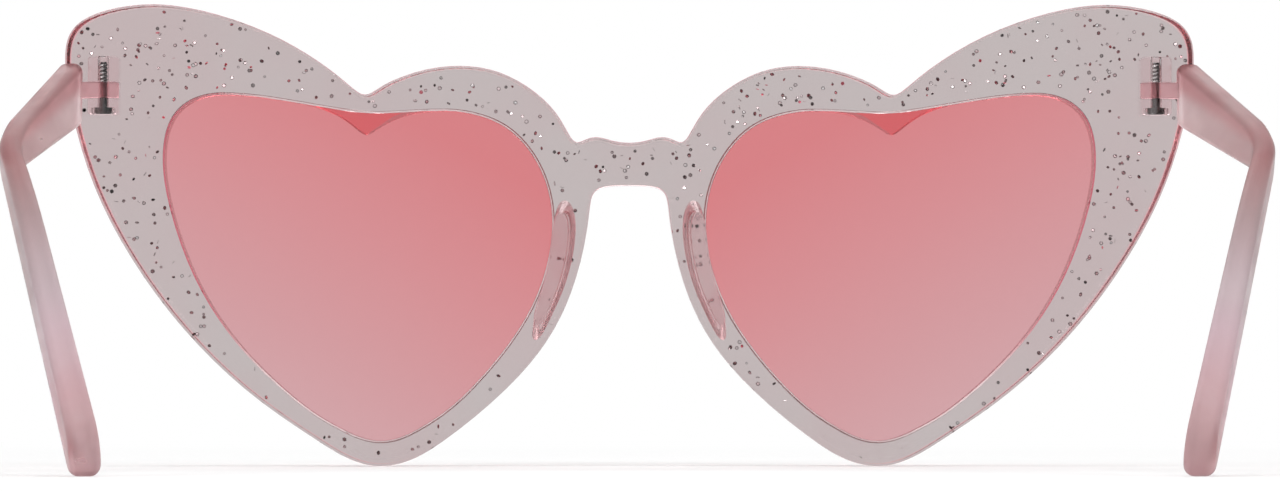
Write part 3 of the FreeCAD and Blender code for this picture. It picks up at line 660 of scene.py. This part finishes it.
# Hinge screws: slotted round head and collar below, plain neck and thread above, in place of the plain
# CAD screws. Only the crests of the thread get the brighter steel; the head, collar, neck and thread
# grooves get the darker steel as painted shade.
THREAD_MAJOR = 0.55 * MM
THREAD_MINOR = 0.42 * MM
THREAD_GROOVE = 0.49 * MM
THREAD_PITCH = 0.5 * MM
THREAD_STEP = 0.05 * MM
THREAD_START = 4.0 * MM
TIP_SHARE = 0.9
NECK_RADIUS = 0.50 * MM
COLLAR_TOP = 1.8 * MM
HEAD_RADIUS = 1.15 * MM
HEAD_HEIGHT = 0.6 * MM
HEAD_EDGE = 0.12 * MM
HEAD_ROUND_SHARE = 0.3
SLOT_WIDTH = 0.3 * MM
SLOT_DEPTH = 0.25 * MM
CUTTER_LENGTH = 4 * HEAD_RADIUS
TURN_STEPS = 48
SHARP_ANGLE = 32.0


def ring(made, places):
    """Vertices at places given by angle, height and radius."""
    return [
        made.verts.new((radius * math.cos(angle), radius * math.sin(angle), height))
        for angle, height, radius in places
    ]


def skin(made, rings):
    """Faces between each ring of vertices and the next, and a cap on both ends."""
    for lower, upper in zip(rings, rings[1:]):
        for step in range(TURN_STEPS):
            after = (step + 1) % TURN_STEPS
            made.faces.new((lower[step], lower[after], upper[after], upper[step]))
    made.faces.new(reversed(rings[0]))
    made.faces.new(rings[-1])


def shank_radius(height, angle):
    """Wide collar over the head, plain neck, then the thread."""
    if height < COLLAR_TOP:
        return THREAD_MAJOR
    if height < THREAD_START:
        return NECK_RADIUS
    turn = (height / THREAD_PITCH - angle / math.tau) % 1
    return THREAD_MINOR + (THREAD_MAJOR - THREAD_MINOR) * (1 - abs(2 * turn - 1))


def screw_mesh(name, length):
    """Screw with the bottom of its head at the origin."""
    angles = [math.tau * step / TURN_STEPS for step in range(TURN_STEPS)]
    rounding = HEAD_EDGE * HEAD_ROUND_SHARE
    outline = [
        (0.0, HEAD_RADIUS - HEAD_EDGE), (rounding, HEAD_RADIUS - rounding),
        (HEAD_EDGE, HEAD_RADIUS), (HEAD_HEIGHT, HEAD_RADIUS),
    ]
    made = bmesh.new()
    rings = [ring(made, [(angle, *place) for angle in angles]) for place in outline]
    height = HEAD_HEIGHT
    while height < length:
        rings.append(ring(made, [(angle, height, shank_radius(height, angle)) for angle in angles]))
        height += THREAD_STEP
    rings.append(ring(made, [(angle, length, THREAD_MINOR * TIP_SHARE) for angle in angles]))
    skin(made, rings)
    mesh = bpy.data.meshes.new(name)
    made.to_mesh(mesh)
    made.free()
    return mesh


def slot_cutter():
    made = bmesh.new()
    size = Matrix.Diagonal((CUTTER_LENGTH, SLOT_WIDTH, 2 * SLOT_DEPTH, 1))
    bmesh.ops.create_cube(made, size=1.0, matrix=size)
    mesh = bpy.data.meshes.new("slot_cutter")
    made.to_mesh(mesh)
    made.free()
    return bpy.data.objects.new("slot_cutter", mesh)


def make_screw(side, steels):
    name = f"hinge_screw_{side}"
    low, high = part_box(name)
    whole = bpy.data.objects.new("whole_screw", screw_mesh("whole_screw", high.z - low.z))
    cutter = slot_cutter()
    for piece in (whole, cutter):
        bpy.context.scene.collection.objects.link(piece)
    cut = whole.modifiers.new("slot", "BOOLEAN")
    cut.operation = "DIFFERENCE"
    cut.solver = "EXACT"
    cut.object = cutter
    mesh = bpy.data.meshes.new_from_object(whole.evaluated_get(bpy.context.evaluated_depsgraph_get()))
    for face in mesh.polygons:
        # Painted shade: the head, collar, neck and thread grooves get the darker steel.
        shaded = face.center.z < THREAD_START or face.center.xy.length < THREAD_GROOVE
        face.material_index = int(shaded)
    mesh.transform(Matrix.Translation(((low.x + high.x) / 2, (low.y + high.y) / 2, low.z)))
    mesh.set_sharp_from_angle(angle=math.radians(SHARP_ANGLE))
    for piece in (whole, cutter):
        bpy.data.objects.remove(piece)
    made = finished_object(f"threaded_screw_{side}", mesh, "front", steels)
    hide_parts(name)


# Studio: white table and surround, strip lamps above, either side of the camera and ahead of the
# glasses. The table fades to pure white away from them. A lamp is given by its place, size and radiance,
# and its watts are spread over four times its area.
FLOOR_SIZE = 6.0
FLOOR_COLOUR = (0.9, 0.9, 0.9, 1.0)
FLOOR_FILL = (0.2, 1.0)
FLOOR_FADE = (0.15, 0.6)
AMBIENT = 0.45
LAMPS = {
    "lamp_top": ((0.0, -0.15, 1.1), (0.9, 0.25), 6.0),
    "lamp_left": ((-0.8, -0.75, 0.55), (0.2, 0.7), 6.0),
    "lamp_right": ((0.8, -0.75, 0.55), (0.2, 0.7), 6.0),
    "lamp_front": ((0.0, 0.9, 0.7), (0.8, 0.2), 4.0),
}
LAMP_TARGET = (0.0, 0.0, 30 * MM)
LAMP_SPREAD = 4
UNREFLECTED_LAMP = "lamp_front"


def seen_directly(tree):
    """1 for rays from the camera, off a gloss or through clear plastic."""
    rays = node(tree, "LightPath").outputs
    glossy = math_node(tree, "MAXIMUM", rays["Is Glossy Ray"], rays["Is Transmission Ray"])
    return math_node(tree, "MAXIMUM", rays["Is Camera Ray"], glossy)


def make_world():
    world = bpy.data.worlds.new("white_surround")
    world.use_nodes = True
    tree = world.node_tree
    tree.nodes.clear()
    ambient = node(tree, "Background", {"Color": WHITE, "Strength": AMBIENT})
    white = node(tree, "Background", {"Color": WHITE, "Strength": 1.0})
    mixed = node(tree, "MixShader", {0: seen_directly(tree), 1: ambient.outputs[0], 2: white.outputs[0]})
    node(tree, "OutputWorld", {"Surface": mixed.outputs[0]})
    bpy.context.scene.world = world


def make_floor():
    material, tree = new_material("white_table")
    matt = node(tree, "BsdfDiffuse", {"Color": FLOOR_COLOUR})
    white = node(tree, "Emission", {"Color": WHITE, "Strength": 1.0})
    away = vector_length(tree, object_place(tree))
    near, far = FLOOR_FILL
    level = math_node(tree, "MULTIPLY_ADD", remap(tree, away, *FLOOR_FADE), far - near, near)
    seen = math_node(tree, "MULTIPLY", seen_directly(tree), level)
    output(tree, node(tree, "MixShader", {0: seen, 1: matt.outputs[0], 2: white.outputs[0]}))
    made = bmesh.new()
    bmesh.ops.create_grid(made, x_segments=1, y_segments=1, size=FLOOR_SIZE / 2)
    mesh = bpy.data.meshes.new("floor")
    made.to_mesh(mesh)
    made.free()
    mesh.materials.append(material)
    floor = bpy.data.objects.new("floor", mesh)
    bpy.context.scene.collection.objects.link(floor)


def make_lamps():
    for name, (place, size, radiance) in LAMPS.items():
        light = bpy.data.lights.new(name, "AREA")
        light.shape = "RECTANGLE"
        light.size, light.size_y = size
        light.energy = radiance * LAMP_SPREAD * size[0] * size[1]
        lamp = bpy.data.objects.new(name, light)
        lamp.location = place
        aim = Vector(LAMP_TARGET) - Vector(place)
        lamp.rotation_euler = aim.to_track_quat("-Z", "Y").to_euler()
        lamp.visible_camera = False
        lamp.visible_glossy = name != UNREFLECTED_LAMP
        bpy.context.scene.collection.objects.link(lamp)


# Camera: long lens behind the glasses, low over the table and tilted up a little.
CAMERA_PLACE = (-0.0106, -0.8775, 0.008)
CAMERA_PITCH = 1.293
CAMERA_YAW = 0.730
CAMERA_LENS = 200.0
CAMERA_SENSOR = 36.0
CAMERA_NEAR = 10 * MM


def make_camera():
    camera = bpy.data.cameras.new("camera")
    camera.lens = CAMERA_LENS
    camera.sensor_width = CAMERA_SENSOR
    camera.sensor_fit = "HORIZONTAL"
    camera.clip_start = CAMERA_NEAR
    made = bpy.data.objects.new("camera", camera)
    made.location = CAMERA_PLACE
    made.rotation_euler = (math.radians(90 + CAMERA_PITCH), 0.0, math.radians(-CAMERA_YAW))
    bpy.context.scene.collection.objects.link(made)
    bpy.context.scene.camera = made


paint(clear_plastic(), "frame_front")
paint(lens_plastic(), "lens_left", "lens_right")
paint(pad_plastic(), "nose_pad_left", "nose_pad_right")
paint(frosted_plastic(), "temple_left", "temple_right")
steels = [screw_steel(name) for name in STEEL_COLOURS]
for side in SIDES:
    make_screw(side, steels)
make_glitter()
make_world()
make_floor()
make_lamps()
make_camera()
bpy.context.scene.view_settings.view_transform = "Standard"
